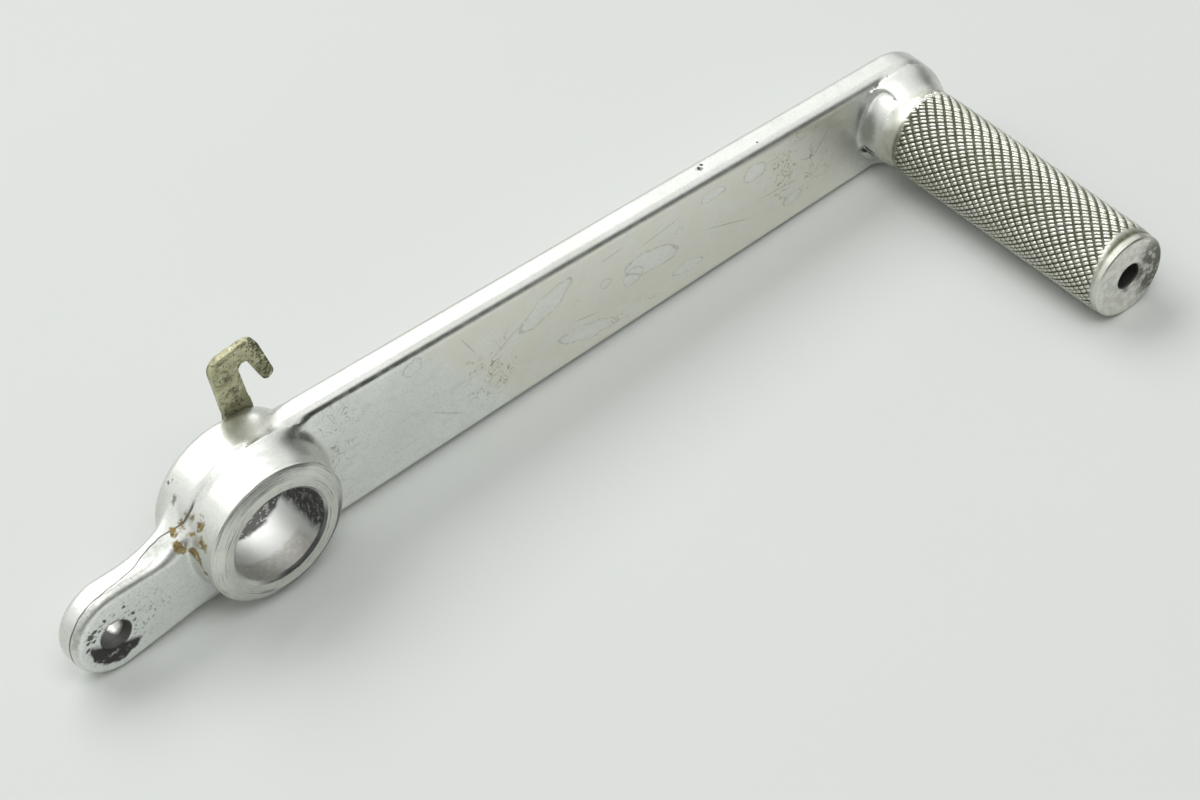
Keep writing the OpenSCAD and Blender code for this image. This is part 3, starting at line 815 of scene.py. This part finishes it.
# Turned profiles as radius and y, and the rounding of each corner between the ends
RIM = [(15.16, -7.4), (BOSS_R, -7.7), (BOSS_R, -8.2), (14.65, -8.66), (13.0, -BOSS_END),
       (10.9, -BOSS_END), (BORE_R, -8.8), (BORE_R, 9.0), (10.6, BOSS_END), (13.6, BOSS_END),
       (13.7, 9.4)]
RIM_ROUND = [0, 0.25, 0.3, 0.2, 0.12, 0.12, 0, 0.2, 0.05, 0]
END = [(8.4, -66.0), (8.9, -66.25), (PEG_R, -66.4), (8.6, PEG_END), (3.3, PEG_END),
       (PEG_HOLE_R, -66.35), (PEG_HOLE_R, PEG_HOLE_END), (0.0, -36.7)]
END_ROUND = [0, 0.3, 0.3, 0.15, 0.15, 0.1, 0]


verts, quads, normals = contour(forging, *FORGING_BOX, FORGING_CELL)
body = make_mesh("forging_body", verts, quads, normals=normals)
rims = lathe("boss_rims", rounded(RIM, RIM_ROUND), (0, 0), 256)
cap = lathe("peg_end", rounded(END, END_ROUND), (PEG_X, 0), 160)
sleeve = knurl("peg_knurl")
looks = {body: forged("forging_metal"), rims: turned("boss_rim_metal"),
         cap: end_metal("peg_end_metal"), sleeve: knurled("knurl_metal")}
for obj, look in looks.items():
    obj.data.materials.append(look)
    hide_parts("pedal_lever")
    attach(obj, "root")

verts, quads, normals = contour(hook, *HOOK_BOX, HOOK_CELL)
plate_obj = make_mesh("spring_hook", verts, quads, normals=normals)
plate_obj.data.materials.append(plated("hook_plating"))
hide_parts("spring_hook_plate")
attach(plate_obj, "root")

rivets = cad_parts["plate_rivets"]
rivets.data.materials.clear()
rivets.data.materials.append(plated("rivet_plating"))

# Floor: it rests under the tab, the arm's end and the peg's end
a = Vector((-33.0, 1.2, -18.15))
b = Vector((PEG_X, 2.5, -11.55))
c = Vector((PEG_X, -65.5, -9.05))
up = (b - a).cross(c - a).normalized()
if up.z < 0:
    up = -up
bpy.ops.mesh.primitive_plane_add(size=6.0)
floor = bpy.context.object
floor.name = "floor"
floor.matrix_world = Matrix.Translation(a * MM) @ up.to_track_quat("Z", "Y").to_matrix().to_4x4()
n = Nodes(bpy.data.materials.new("floor"))
pale = n.mix(n.noise(9, 2, 0.5), linear((231, 234, 231)), linear((227, 229, 226)))
paint = n.node("ShaderNodeBsdfPrincipled",
               {"Base Color": pale, "Roughness": 0.75, "Specular IOR Level": 0.2})
n.node("ShaderNodeOutputMaterial", {"Surface": paint.outputs[0]})
floor.data.materials.append(n.owner)

# A studio: even light on matt surfaces, a pale dome with a dark low front in reflections
world = bpy.data.worlds.new("studio")
bpy.context.scene.world = world
n = Nodes(world, "Generated")
dx, dy, dz = n.split(n.coord)
front = n.math("MAXIMUM", n.plus(n.both(dx, 0.5), n.both(dy, -0.85)), 0.0)
rear = n.math("MAXIMUM", n.plus(n.both(dx, -0.5), n.both(dy, 0.85)), 0.0)
height = n.plus(n.less(dz, n.both(front, 0.6)), n.both(rear, 0.22))
dome = n.ramp(height, 0.0, 0.35, 0.10, 1.05)
glossy = n.node("ShaderNodeLightPath").outputs["Is Glossy Ray"]
strength = n.plus(n.both(n.rest(glossy), 0.37), n.both(glossy, dome))
sky = n.node("ShaderNodeBackground", {"Color": (0.98, 1.0, 0.985, 1.0), "Strength": strength})
n.node("ShaderNodeOutputWorld", {"Surface": sky.outputs[0]})


def lamp(name, direction, distance, size, power):
    """A soft lamp that looks at the object from a direction."""
    data = bpy.data.lights.new(name, "AREA")
    data.shape = "RECTANGLE"
    data.size, data.size_y = size
    data.energy = power
    obj = bpy.data.objects.new(name, data)
    bpy.context.scene.collection.objects.link(obj)
    target = Vector((0.06, -0.02, 0))
    d = Vector(direction).normalized()
    obj.location = target + d * distance
    obj.rotation_euler = (-d).to_track_quat("-Z", "Y").to_euler()


def toward(az, el):
    """A direction from its azimuth and elevation in degrees."""
    az, el = math.radians(az), math.radians(el)
    return (math.cos(el) * math.cos(az), math.cos(el) * math.sin(az), math.sin(el))


lamp("key", toward(97, 49), 1.8, (2.0, 1.1), 18)
lamp("front", toward(-102, 68), 1.6, (0.8, 0.8), 6.5)

# Camera, at the photograph's viewing angle
cam = bpy.data.cameras.new("camera")
cam.lens = 118.89
cam.sensor_width = 36.0
cam.sensor_fit = "HORIZONTAL"
cam.clip_start = 0.01
cam.clip_end = 20
view = bpy.data.objects.new("camera", cam)
bpy.context.scene.collection.objects.link(view)
forward = Vector((0.43456, 0.55284, -0.711)).normalized()
right = Vector((0.76055, -0.6481, -0.03909)).normalized()
above = right.cross(forward).normalized()
view.matrix_world = Matrix((
    (right.x, above.x, -forward.x, -260.65 * MM),
    (right.y, above.y, -forward.y, -438.04 * MM),
    (right.z, above.z, -forward.z, 534.45 * MM),
    (0, 0, 0, 1)))
bpy.context.scene.camera = view

bpy.context.scene.view_settings.view_transform = "Standard"
